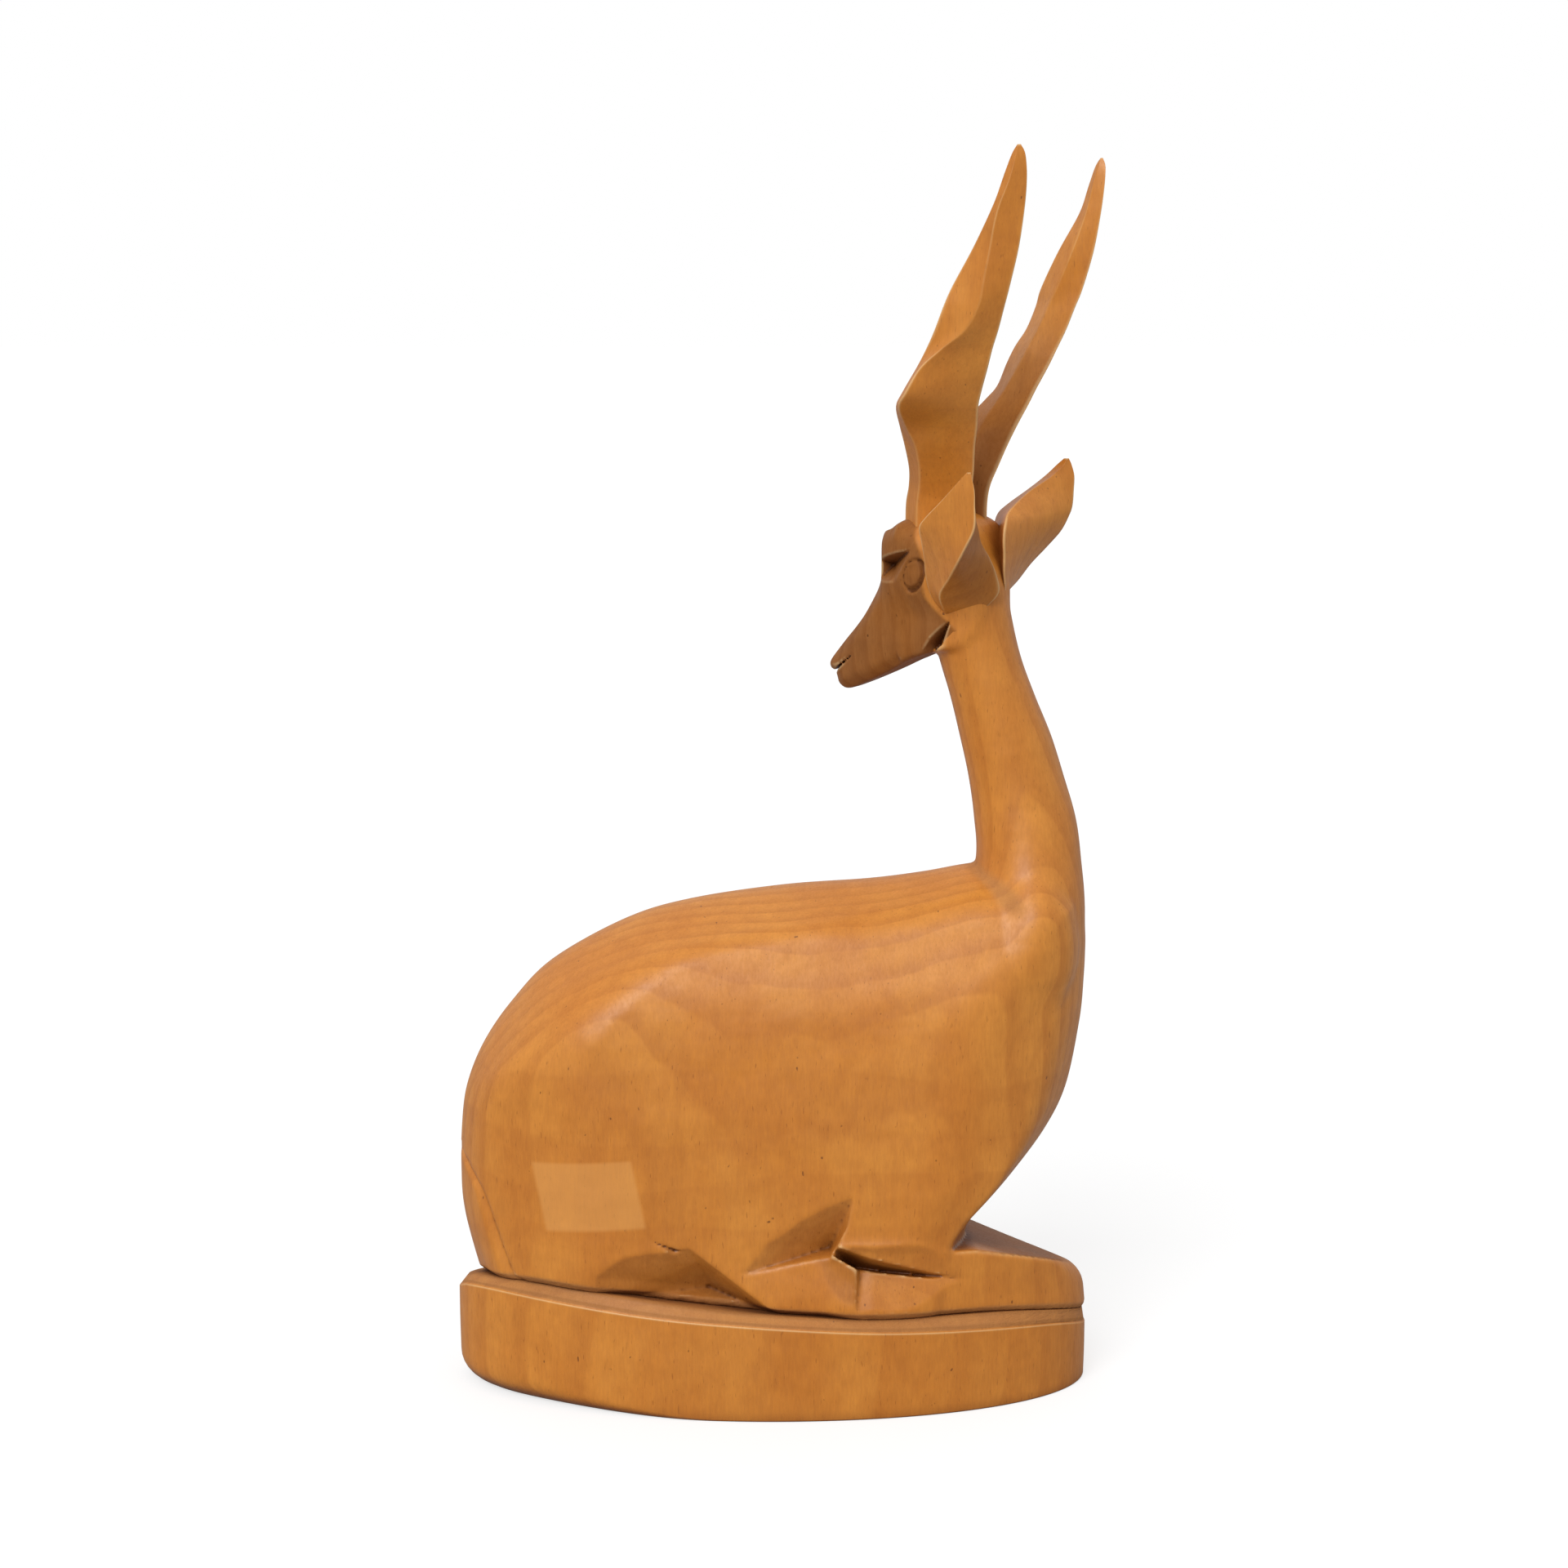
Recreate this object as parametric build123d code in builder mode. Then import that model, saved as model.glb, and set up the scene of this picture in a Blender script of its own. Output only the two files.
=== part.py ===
"""Kneeling gazelle carved in wood, pieced from nine glued parts.

Frame: millimetres, +Z up, origin at the bottom centre of the oval plinth. The body faces +X, and the head
is turned back over the left shoulder, so it looks towards -X and somewhat towards +Y.
"""

import os

from build123d import *

# Plinth
plinth_length = 140.0
plinth_width = 65.0
seat_height = 21.2
seat_tilt = (-5.7, 3.8, 0.0)
rim_inset = 2.2
rim_drop = 3.4
foot_round = 2.0

# Torso: its middle outline as (x, z), and how far the outline is drawn in towards the belly at each depth
belly_height = 20.0
flank_sections = ((0.0, 1.0), (9.0, 0.977), (18.0, 0.937), (24.5, 0.9), (28.2, 0.865))
flank_depth = flank_sections[-1][0]
oval_slack = 0.3
torso_ceiling = 130.0
torso_outline = (
    (-62.0, 14.0),
    (-66.7, 29.3),
    (-69.3, 48.2),
    (-67.4, 67.0),
    (-57.4, 85.5),
    (-32.2, 103.9),
    (-8.1, 110.2),
    (21.2, 112.8),
    (44.6, 116.3),
    (62.0, 113.0),
    (68.5, 99.4),
    (67.5, 80.9),
    (60.6, 57.6),
    (49.7, 43.5),
    (41.0, 32.0),
    (36.0, 14.0),
)

# Neck stations: height, rear edge, front edge and half width
neck_stations = (
    (88.0, 35.0, 67.4, 16.5),
    (104.0, 42.0, 68.3, 18.0),
    (117.6, 44.6, 67.6, 13.6),
    (135.7, 42.8, 63.6, 10.0),
    (153.7, 38.6, 57.0, 9.0),
    (173.3, 33.5, 51.3, 8.5),
    (186.0, 30.0, 48.5, 8.2),
)

# Folded legs, an oval block under the torso whose top falls towards the front and the left
legs_inset = 1.4
legs_rear = 30.0
legs_top_place = (50.0, 0.0, 30.6)
legs_top_tilt = (-9.5, 15.6, 0.0)
legs_round = 3.0

# Chisel cuts on a flank: three corners as (x, z), then the deepest point as (x, depth, z)
flank_cuts = (
    ((18.6, 50.8), (-8.4, 31.4), (14.0, 35.0), (12.2, 5.0, 37.2)),
    ((12.2, 40.0), (38.0, 31.5), (18.5, 32.6), (17.8, 6.0, 33.6)),
    ((18.0, 34.5), (41.0, 29.5), (18.2, 25.2), (19.0, 2.0, 30.0)),
    ((-42.0, 26.0), (-17.5, 38.0), (2.5, 22.0), (-13.4, 5.0, 27.4)),
)
cut_opening = 2.5

# Head, turned about an upright axis. Its side profile is (forward, up), half plan (forward, left)
# and half front (left, up).
head_axis_x = 42.0
head_turn = 150.0
head_depth = 12.2
head_floor = 150.0
throat = (5.0, 163.3)
nape = (-8.0, 173.62)
head_profile = (
    throat,
    (11.0, 161.0),
    (17.5, 157.7),
    (24.0, 154.7),
    (28.4, 153.2),
    (30.7, 154.1),
    (31.7, 156.7),
    (33.0, 157.6),
    (32.9, 159.3),
    (29.6, 163.0),
    (22.5, 171.0),
    (20.0, 177.8),
    (19.9, 186.0),
    (18.4, 188.4),
    (14.6, 189.8),
    (6.0, 194.2),
    (-3.0, 193.4),
    (-7.2, 188.5),
    (-8.3, 182.0),
    nape,
)
head_half_plan = (
    (-9.0, 4.4),
    (-5.0, 8.4),
    (0.0, 11.6),
    (6.0, head_depth),
    (10.0, 11.2),
    (16.0, 7.3),
    (24.0, 5.4),
    (34.0, 3.2),
)
head_half_front = (
    (4.5, head_floor),
    (7.5, 160.0),
    (9.5, 168.0),
    (head_depth, 180.0),
    (head_depth, 187.5),
    (8.5, 191.5),
    (4.0, 194.2),
)
mouth_slit = ((35.0, 157.0), (35.0, 154.8), (25.4, 161.2))
eye_place = (6.9, 180.8)
eye_length = 6.4
eye_height = 7.4
eye_groove = 1.0
eye_cut_depth = 1.2

# Horn stations: height, front corner and rear corner as (forward, left), thickness, and where the outer
# ridge stands as a share of the way from front to rear
horn_stations = (
    (188.0, (11.6, 6.0), (-2.6, 4.0), 7.6, 0.28),
    (195.0, (11.4, 6.2), (-2.7, 4.0), 8.0, 0.28),
    (203.0, (9.1, 9.2), (-4.3, 5.8), 8.0, 0.24),
    (208.0, (8.6, 12.2), (-5.6, 8.0), 8.0, 0.22),
    (212.5, (8.1, 15.4), (-7.1, 9.9), 7.8, 0.14),
    (216.8, (6.2, 20.5), (-8.5, 12.2), 7.6, 0.1),
    (225.0, (1.2, 20.9), (-11.8, 14.7), 6.8, 0.12),
    (233.0, (-3.2, 21.7), (-14.9, 16.4), 6.2, 0.5),
    (242.0, (-6.9, 21.0), (-18.0, 17.7), 5.2, 0.55),
    (250.0, (-11.3, 20.1), (-20.2, 18.2), 4.3, 0.46),
    (258.4, (-16.0, 20.6), (-21.6, 18.6), 3.2, 0.35),
    (264.0, (-18.1, 20.4), (-22.1, 19.0), 2.5, 0.4),
    (270.3, (-20.7, 20.3), (-21.5, 20.0), 0.8, 0.45),
)
horn_root = horn_stations[1][0]
inner_ridge = 0.6
left_horn_tip = 270.3
right_horn_tip = 268.2

# Ear stations: height, then the front, rear and inner corners as (forward, left)
left_ear_stations = (
    (174.5, (2.4, 10.0), (1.2, 13.0), (-7.6, 5.6)),
    (177.0, (3.2, 11.4), (1.0, 15.8), (-9.4, 5.6)),
    (180.8, (3.5, 13.0), (-3.8, 18.8), (-9.8, 6.4)),
    (184.5, (3.0, 14.8), (-8.8, 21.5), (-9.2, 8.2)),
    (191.4, (2.2, 18.8), (-13.5, 23.7), (-9.2, 13.0)),
    (197.0, (-4.1, 21.5), (-14.1, 24.3), (-10.2, 18.8)),
    (200.0, (-7.6, 22.7), (-14.0, 24.4), (-11.2, 21.0)),
    (203.8, (-11.7, 23.5), (-12.7, 23.9), (-12.4, 23.1)),
)
right_ear_stations = (
    (174.5, (2.6, 9.8), (-2.6, 13.8), (-6.6, 6.4)),
    (177.0, (3.4, 10.8), (-3.8, 16.2), (-7.6, 7.4)),
    (180.8, (3.6, 12.4), (-6.0, 19.2), (-7.4, 9.8)),
    (184.5, (3.0, 14.6), (-9.1, 21.6), (-7.0, 12.2)),
    (191.4, (2.2, 18.8), (-13.5, 23.7), (-7.8, 17.0)),
    (197.0, (-4.1, 21.5), (-14.1, 24.3), (-10.0, 20.6)),
    (200.0, (-7.6, 22.7), (-14.0, 24.4), (-11.2, 21.9)),
    (203.8, (-11.7, 23.5), (-12.7, 23.9), (-12.4, 23.3)),
)

# Dowels and tenons. Each has a length below and above its joint face, and its socket is a little bigger.
peg_clearance = 0.1
socket_end_gap = 0.5
socket_overrun = 3.0
peg_bevel = 0.8
plinth_peg_radius = 4.0
plinth_peg_below = 14.0
plinth_peg_above = 22.0
plinth_peg_places = (-34.0, 26.0)
neck_peg_radius = 3.5
neck_peg_below = 14.0
neck_peg_above = 10.0
horn_tenon_radius = 2.5
horn_tenon_length = 9.0
horn_tenon_root = 4.0
horn_tenon_place = (4.5, 5.2, 193.4)
ear_tenon_radius = 2.5
ear_tenon_length = 7.0
ear_tenon_root = 3.0
ear_tenon_place = (-2.0, head_depth, 184.0)

seat_plane = Plane(origin=(0, 0, seat_height)).rotated(seat_tilt)
legs_top = Plane(origin=legs_top_place).rotated(legs_top_tilt)
head_frame = Plane(origin=(head_axis_x, 0, 0)).rotated((0, 0, head_turn))
head_side = Plane(origin=head_frame.origin, x_dir=head_frame.x_dir, z_dir=-head_frame.y_dir)
head_front = Plane(origin=head_frame.origin, x_dir=head_frame.y_dir, z_dir=head_frame.x_dir)


def in_head(forward, left, up):
    """A point given in the head's own directions."""
    return head_frame.from_local_coords(Vector(forward, left, up))


# The face between neck and head runs from the throat up to the nape.
joint_middle = in_head((throat[0] + nape[0]) / 2, 0, (throat[1] + nape[1]) / 2)
joint_plane = Plane(
    origin=joint_middle,
    x_dir=head_frame.y_dir,
    z_dir=head_frame.x_dir * (nape[1] - throat[1]) + Vector(0, 0, throat[0] - nape[0]),
)


def neck_peg_plane():
    """Plane at the middle of the neck's joint face, square to the neck's own line."""
    below, above = neck_stations[-3], neck_stations[-2]
    lean = (above[1] + above[2] - below[1] - below[2]) / 2
    return Plane(origin=joint_middle, z_dir=(lean, 0, above[0] - below[0]))


def plinth_peg_plane(place):
    """Plane on the plinth's seat, at one dowel."""
    origin = seat_plane.from_local_coords(Vector(place, 0, 0))
    return Plane(origin=origin, x_dir=seat_plane.x_dir, z_dir=seat_plane.z_dir)


def horn_tenon_plane(side):
    """Plane on the crown under one horn, facing up."""
    forward, left, up = horn_tenon_place
    return Plane(origin=in_head(forward, side * left, up), z_dir=(0, 0, 1))


def ear_tenon_plane(side):
    """Plane on one cheek, facing out."""
    forward, left, up = ear_tenon_place
    return Plane(origin=in_head(forward, side * left, up), z_dir=head_frame.y_dir * side)


def cylinder_across(plane, radius, below, above, mode):
    """Cylinder from below a plane to above it, added to or cut from the part being built."""
    with BuildSketch(plane.offset(-below)) as end:
        Circle(radius)
    extrude(to_extrude=end.sketch, amount=below + above, mode=mode)


def peg(plane, radius, below, above):
    """Round dowel or tenon."""
    cylinder_across(plane, radius, below, above, Mode.ADD)


def socket(plane, radius, depth):
    """Blind hole for a dowel or tenon, drilled into the side of the plane that its normal leaves."""
    cylinder_across(
        plane,
        radius + peg_clearance,
        depth + socket_end_gap,
        socket_overrun,
        Mode.SUBTRACT,
    )


def facing_away(plane):
    """The same plane, with its normal turned round."""
    return Plane(origin=plane.origin, x_dir=plane.x_dir, z_dir=-plane.z_dir)


def drawn_in(outline, fullness):
    """The torso outline, scaled towards the middle of the belly."""
    return [(x * fullness, belly_height + (z - belly_height) * fullness) for x, z in outline]


def mirrored(points, axis):
    """The points in reverse order with one coordinate negated, to close a half outline."""
    return [(-x, y) if axis == 0 else (x, -y) for x, y in reversed(points)]


def chisel_cut(side, cut):
    """Three-sided chisel cut in one flank, closing at its deepest point."""
    *corners, (x, depth, z) = cut
    deepest = Vector(x, side * (flank_depth - depth), z)
    rim = [deepest + (Vector(x, side * flank_depth, z) - deepest) * cut_opening for x, z in corners]
    opening = Face(Wire.make_polygon(rim))
    loft(sections=[opening, Vertex(*deepest)], ruled=True, mode=Mode.SUBTRACT)


def facetted(stations, side):
    """Facetted solid through level polygons, each a height and its (forward, left) corners."""
    sections = []
    for height, *corners in stations:
        with BuildSketch(head_frame.offset(height)) as section:
            Polygon(*[(forward, side * left) for forward, left in corners], align=None)
        sections.append(section.sketch.face())
    loft(sections=sections, ruled=True)


def horn_sections(tip_height):
    """Levels of a horn, each with its front, outer ridge, rear and inner ridge corners."""
    stretch = (tip_height - horn_root) / (horn_stations[-1][0] - horn_root)
    sections = []
    for height, front, rear, thickness, ridge in horn_stations:
        front, rear = Vector(*front), Vector(*rear)
        outward = (front - rear).normalized().rotate(Axis.Z, 90) * (thickness / 2)
        outer = front + (rear - front) * ridge + outward
        inner = front + (rear - front) * inner_ridge - outward
        level = horn_root + (height - horn_root) * stretch
        sections.append((level, *[(corner.X, corner.Y) for corner in (front, outer, rear, inner)]))
    return sections


with BuildPart() as plinth:
    with BuildSketch(Plane.XY):
        Ellipse(plinth_length / 2, plinth_width / 2)
    extrude(amount=2 * seat_height)
    split(bisect_by=seat_plane, keep=Keep.BOTTOM)
    chamfer(plinth.faces().sort_by(Axis.Z)[-1].edges(), length=rim_inset, length2=rim_drop)
    fillet(plinth.edges().group_by(Axis.Z)[0], radius=foot_round)
    for place in plinth_peg_places:
        socket(plinth_peg_plane(place), plinth_peg_radius, plinth_peg_below)
plinth.part.label = "plinth"


with BuildPart() as folded_legs:
    with BuildSketch(Plane.XY):
        Ellipse(plinth_length / 2 - legs_inset, plinth_width / 2 - legs_inset)
    extrude(amount=2 * seat_height)
    split(bisect_by=legs_top, keep=Keep.BOTTOM)
    split(bisect_by=Plane.YZ.offset(legs_rear), keep=Keep.TOP)
    fillet(folded_legs.faces().sort_by(Axis.Z)[-1].edges(), radius=legs_round)


with BuildPart() as body:
    # Torso
    left_half = [(-depth, fullness) for depth, fullness in flank_sections]
    for depth, fullness in (*flank_sections[:0:-1], *left_half):
        with BuildSketch(Plane.XZ.offset(depth)):
            with BuildLine():
                outline = Spline(*drawn_in(torso_outline, fullness))
                Line(outline @ 1, outline @ 0)
            make_face()
    loft()
    with BuildSketch(Plane.XY):
        Ellipse(plinth_length / 2 + oval_slack, plinth_width / 2 + oval_slack)
    extrude(amount=torso_ceiling, mode=Mode.INTERSECT)
    # Neck
    for height, rear, front, half_width in neck_stations:
        with BuildSketch(Plane(origin=((rear + front) / 2, 0, height))):
            Ellipse((front - rear) / 2, half_width)
    loft()
    add(folded_legs.part)
    split(bisect_by=seat_plane, keep=Keep.TOP)
    split(bisect_by=joint_plane, keep=Keep.BOTTOM)
    for side in (-1, 1):
        for cut in flank_cuts:
            chisel_cut(side, cut)
    for place in plinth_peg_places:
        socket(facing_away(plinth_peg_plane(place)), plinth_peg_radius, plinth_peg_above)
    socket(neck_peg_plane(), neck_peg_radius, neck_peg_below)
body.part.label = "body"


with BuildPart() as skull:
    with BuildSketch(head_side):
        Polygon(*head_profile, align=None)
    extrude(amount=2 * head_depth, both=True)
    with BuildSketch(head_frame.offset(head_floor)):
        Polygon(*head_half_plan, *mirrored(head_half_plan, 1), align=None)
    extrude(amount=4 * head_depth, mode=Mode.INTERSECT)
    with BuildSketch(head_front.offset(-2 * head_depth)):
        Polygon(*head_half_front, *mirrored(head_half_front, 0), align=None)
    extrude(amount=5 * head_depth, mode=Mode.INTERSECT)
    # Mouth
    with BuildSketch(head_side):
        Polygon(*mouth_slit, align=None)
    extrude(amount=head_depth, both=True, mode=Mode.SUBTRACT)
    # Eyes, each an oval left standing inside a groove
    for side in (-1, 1):
        with BuildSketch(head_side.offset(-side * (head_depth - eye_cut_depth))):
            with Locations(eye_place):
                Ellipse(eye_length / 2, eye_height / 2)
                Ellipse(
                    eye_length / 2 - eye_groove,
                    eye_height / 2 - eye_groove,
                    mode=Mode.SUBTRACT,
                )
        extrude(amount=-side * head_depth, mode=Mode.SUBTRACT)


with BuildPart() as head:
    add(skull.part)
    socket(facing_away(neck_peg_plane()), neck_peg_radius, neck_peg_above)
    for side in (-1, 1):
        socket(horn_tenon_plane(side), horn_tenon_radius, horn_tenon_length)
        socket(ear_tenon_plane(side), ear_tenon_radius, ear_tenon_length)
head.part.label = "head"


with BuildPart() as left_horn:
    facetted(horn_sections(left_horn_tip), 1)
    add(skull.part, mode=Mode.SUBTRACT)
    peg(horn_tenon_plane(1), horn_tenon_radius, horn_tenon_length, horn_tenon_root)
left_horn.part.label = "left_horn"


with BuildPart() as right_horn:
    facetted(horn_sections(right_horn_tip), -1)
    add(skull.part, mode=Mode.SUBTRACT)
    peg(horn_tenon_plane(-1), horn_tenon_radius, horn_tenon_length, horn_tenon_root)
right_horn.part.label = "right_horn"


with BuildPart() as left_ear:
    facetted(left_ear_stations, 1)
    add(skull.part, mode=Mode.SUBTRACT)
    peg(ear_tenon_plane(1), ear_tenon_radius, ear_tenon_length, ear_tenon_root)
left_ear.part.label = "left_ear"


with BuildPart() as right_ear:
    facetted(right_ear_stations, -1)
    add(skull.part, mode=Mode.SUBTRACT)
    peg(ear_tenon_plane(-1), ear_tenon_radius, ear_tenon_length, ear_tenon_root)
right_ear.part.label = "right_ear"


with BuildPart() as plinth_dowels:
    for place in plinth_peg_places:
        peg(plinth_peg_plane(place), plinth_peg_radius, plinth_peg_below, plinth_peg_above)
    chamfer(plinth_dowels.edges(), length=peg_bevel)
plinth_dowels.part.label = "plinth_dowels"


with BuildPart() as neck_dowel:
    peg(neck_peg_plane(), neck_peg_radius, neck_peg_below, neck_peg_above)
    chamfer(neck_dowel.edges(), length=peg_bevel)
neck_dowel.part.label = "neck_dowel"


os.makedirs("parts", exist_ok=True)
export_step(plinth.part, "parts/plinth.step")
export_step(body.part, "parts/body.step")
export_step(head.part, "parts/head.step")
export_step(left_horn.part, "parts/left_horn.step")
export_step(right_horn.part, "parts/right_horn.step")
export_step(left_ear.part, "parts/left_ear.step")
export_step(right_ear.part, "parts/right_ear.step")
export_step(plinth_dowels.part, "parts/plinth_dowels.step")
export_step(neck_dowel.part, "parts/neck_dowel.step")
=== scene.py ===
import math

import bpy
import numpy as np
import openvdb
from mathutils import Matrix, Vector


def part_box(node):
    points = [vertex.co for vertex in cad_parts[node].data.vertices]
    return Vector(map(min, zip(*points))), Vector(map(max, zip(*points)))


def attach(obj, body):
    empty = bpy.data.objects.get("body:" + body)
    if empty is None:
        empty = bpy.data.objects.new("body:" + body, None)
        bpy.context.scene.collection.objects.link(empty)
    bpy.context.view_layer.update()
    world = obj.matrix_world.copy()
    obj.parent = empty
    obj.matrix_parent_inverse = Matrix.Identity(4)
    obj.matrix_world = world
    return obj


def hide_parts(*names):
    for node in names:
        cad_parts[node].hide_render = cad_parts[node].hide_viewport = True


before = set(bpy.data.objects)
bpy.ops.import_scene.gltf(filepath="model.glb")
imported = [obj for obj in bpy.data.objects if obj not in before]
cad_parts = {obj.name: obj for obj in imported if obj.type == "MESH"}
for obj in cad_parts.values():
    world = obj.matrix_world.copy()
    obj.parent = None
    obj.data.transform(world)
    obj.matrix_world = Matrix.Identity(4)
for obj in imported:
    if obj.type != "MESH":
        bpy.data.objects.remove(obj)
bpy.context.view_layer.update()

# The sculpted shapes below are worked out in millimetres, in the row's own directions.
MM = 0.001
plinth_low, plinth_high = (np.array(corner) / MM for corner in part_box("plinth"))
half_length = (plinth_high[0] - plinth_low[0]) / 2
half_width = (plinth_high[1] - plinth_low[1]) / 2

# Plinth: height of its rim, the seat above it, and how both fall ahead and to the left
rim_height = 17.8
seat_rise = 3.4
fall_ahead = 0.066
fall_across = 0.10
# Head: the upright axis that it turns on, and the face between it and the neck, as (forward, up)
head_axis_x = 42.0
head_turn = math.radians(150)
throat = (5.0, 163.3)
nape = (-11.0, 176.0)
joint_taper = 0.4
joint_lap = 0.4
joint_overlap = 1.6
joint_floor = 150
joint_ceiling = 183


def smooth_max(a, b, blend):
    """The larger of two fields, with the corner between them rounded over about the blend width."""
    share = np.clip(0.5 + 0.5 * (a - b) / blend, 0, 1)
    return b + (a - b) * share + blend * share * (1 - share)


def smooth_min(a, b, blend):
    return -smooth_max(-a, -b, blend)


def curve_through(points, steps=8, closed=False):
    """Catmull-Rom curve through the points."""
    p = np.array(points, float)
    if closed:
        p = np.vstack([p[-1], p, p[0], p[1]])
    else:
        p = np.vstack([2 * p[0] - p[1], p, 2 * p[-1] - p[-2]])
    t = np.linspace(0, 1, steps, endpoint=False)[:, None]
    pieces = []
    for a, b, c, d in zip(p[:-3], p[1:-2], p[2:-1], p[3:]):
        pieces.append(
            0.5 * (2 * b + (c - a) * t + (2 * a - 5 * b + 4 * c - d) * t**2 + (3 * b - a - 3 * c + d) * t**3)
        )
    return np.vstack(pieces if closed else [*pieces, p[-2][None]])


def inside_depth(u, v, outline):
    """Signed distance from points (u, v) to a closed outline, positive inside."""
    u, v = np.broadcast_arrays(u, v)
    nearest = np.full(u.shape, np.inf)
    inside = np.zeros(u.shape, bool)
    for (ax, ay), (bx, by) in zip(outline, np.roll(outline, -1, axis=0)):
        ex, ey = bx - ax, by - ay
        along = np.clip(((u - ax) * ex + (v - ay) * ey) / max(ex * ex + ey * ey, 1e-9), 0, 1)
        nearest = np.minimum(nearest, (u - ax - along * ex) ** 2 + (v - ay - along * ey) ** 2)
        crosses = (ay > v) != (by > v)
        inside ^= crosses & (u < ex * (v - ay) / (ey if ey else 1e-9) + ax)
    return np.where(inside, 1, -1) * np.sqrt(nearest)


def profile(values, stations):
    """Smooth interpolation of a column of stations: (position, amount)."""
    fine = curve_through(stations, steps=6)
    return np.interp(values, fine[:, 0], fine[:, 1])


def pit(x, y, z, rim, deepest):
    """Field of a chisel cut with flat sides, negative inside: its rim corners go round, its sides meet
    at the deepest point."""
    deepest = np.array(deepest, float)
    rim = np.array(rim, float)
    middle = rim.mean(axis=0)
    field = -np.inf
    for a, b in zip(rim, np.roll(rim, -1, axis=0)):
        normal = np.cross(a - deepest, b - deepest)
        normal /= np.linalg.norm(normal)
        if normal @ (middle - deepest) > 0:
            normal = -normal
        field = np.maximum(
            field,
            (x - deepest[0]) * normal[0] + (y - deepest[1]) * normal[1] + (z - deepest[2]) * normal[2],
        )
    return field


def new_piece(name, vertices, faces, slot, *nodes):
    """Mesh object that rides on the statue's one body and stands for the named CAD nodes."""
    mesh = bpy.data.meshes.new(name)
    mesh.from_pydata(vertices.tolist(), [], faces.tolist() if isinstance(faces, np.ndarray) else faces)
    mesh.validate()
    mesh.polygons.foreach_set("use_smooth", [True] * len(mesh.polygons))
    piece = bpy.data.objects.new(name, mesh)
    bpy.context.scene.collection.objects.link(piece)
    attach(piece, "root")
    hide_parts(*nodes)
    return piece


def sculpt(field, blocks, step):
    """Closed surface where the field is zero inside the blocks, as vertices in millimetres and faces."""
    start = np.array(blocks[0][0], float)
    grid = openvdb.FloatGrid(background=3 * step)
    for low, high in blocks:
        first, last = (np.round((np.array(corner) - start) / step).astype(int) for corner in (low, high))
        x, y, z = (start[i] + step * np.arange(first[i], last[i] + 1) for i in range(3))
        values = field(x[:, None, None], y[None, :, None], z[None, None, :])
        values = np.clip(values, -3 * step, 3 * step).astype(np.float32)
        grid.copyFromArray(np.ascontiguousarray(values), ijk=tuple(int(place) for place in first))
    points, quads = grid.convertToQuads(isovalue=0.0)
    vertices = points.astype(float) * step + start
    a, b, c, d = (vertices[quads[:, i]] for i in range(4))
    volume = (np.cross(b - a, c - a) * a).sum() + (np.cross(c - a, d - a) * a).sum()
    return vertices, quads if volume > 0 else quads[:, ::-1]


def relaxed(vertices, quads, rounds):
    """Sand down the voxel steps: neighbours pull each point in, then push it out again."""
    starts, ends = quads.ravel(), np.roll(quads, -1, axis=1).ravel()
    count = np.bincount(starts, minlength=len(vertices))[:, None]
    for pull in (0.5, -0.52) * rounds:
        total = np.stack([np.bincount(starts, vertices[ends, i], len(vertices)) for i in range(3)], axis=1)
        vertices = vertices + pull * (total / count - vertices)
    return vertices, quads


def head_to_row(points):
    """Points given as (forward, left, up) in the head, moved to the row frame."""
    forward, left, up = np.asarray(points, float).T
    c, s = math.cos(head_turn), math.sin(head_turn)
    return np.stack([head_axis_x + c * forward - s * left, s * forward + c * left, up], axis=1)


def row_to_head(x, y):
    """Forward and left distances in the head for places in the row frame."""
    c, s = math.cos(head_turn), math.sin(head_turn)
    return c * (x - head_axis_x) + s * y, c * y - s * (x - head_axis_x)


def ease(value, start, end):
    """0 before start, 1 after end, and a smooth step between them."""
    share = np.clip((value - start) / (end - start), 0, 1)
    return share * share * (3 - 2 * share)


def oval_depth(x, y, inset):
    """Roughly the distance outside the plinth's oval, drawn in by the inset."""
    a, b = half_length - inset, half_width - inset
    reach = np.maximum(np.hypot(x / a, y / b), 1e-3)
    return (reach - 1) * reach / np.hypot(x / a**2, y / b**2)


def rim(x, y):
    """Height of the plinth's upper rim: it falls ahead and to the left, and rises a little before its
    ends drop."""
    level = rim_height - fall_ahead * x - fall_across * y + 1.3 * ease(np.abs(x), 16, 64)
    rear_corner = 0.15 * np.maximum(y + 8, 0) * ease(-x, 45, 66)
    return level - rear_corner - 2.2 * np.abs(x / half_length) ** 16


def seat(x, y):
    """Height of the face that the body stands on, inside the plinth's bevel."""
    dip = 1.0 * ease(x, -36, 2) * ease(-x, -50, -12)
    return rim(x, y) + seat_rise - dip - 1.4 * ease(-x, 48, 66) - 0.5 * ease(x, 50, 66)


def rim_inset(x):
    return 2.2 - 1.5 * ease(x, 40, 66)


# Body: the torso's outline as (x, z), first over the back, then down the chest
back = ((-60, 10), (-64.6, 22.7), (-68.7, 38.8), (-69.4, 48.2), (-69, 57.6), (-67.5, 67), (-63.7, 76.3),
        (-57.4, 85.5), (-48.4, 94.8), (-32.2, 103.9), (-17.8, 108.3), (2.6, 111.4), (21.2, 112.8),
        (33, 114.3), (44.6, 116.3), (56, 116.5))
chest = ((66, 110), (68.7, 99.4), (68.6, 90.2), (67.7, 80.9), (65, 67), (60.6, 57.6), (53.6, 48.2),
         (45.4, 38.8))
belly_end = ((43.6, 36), (42, 30), (40, 10))
torso_outline = np.vstack([curve_through(back), curve_through(chest), belly_end])
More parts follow.
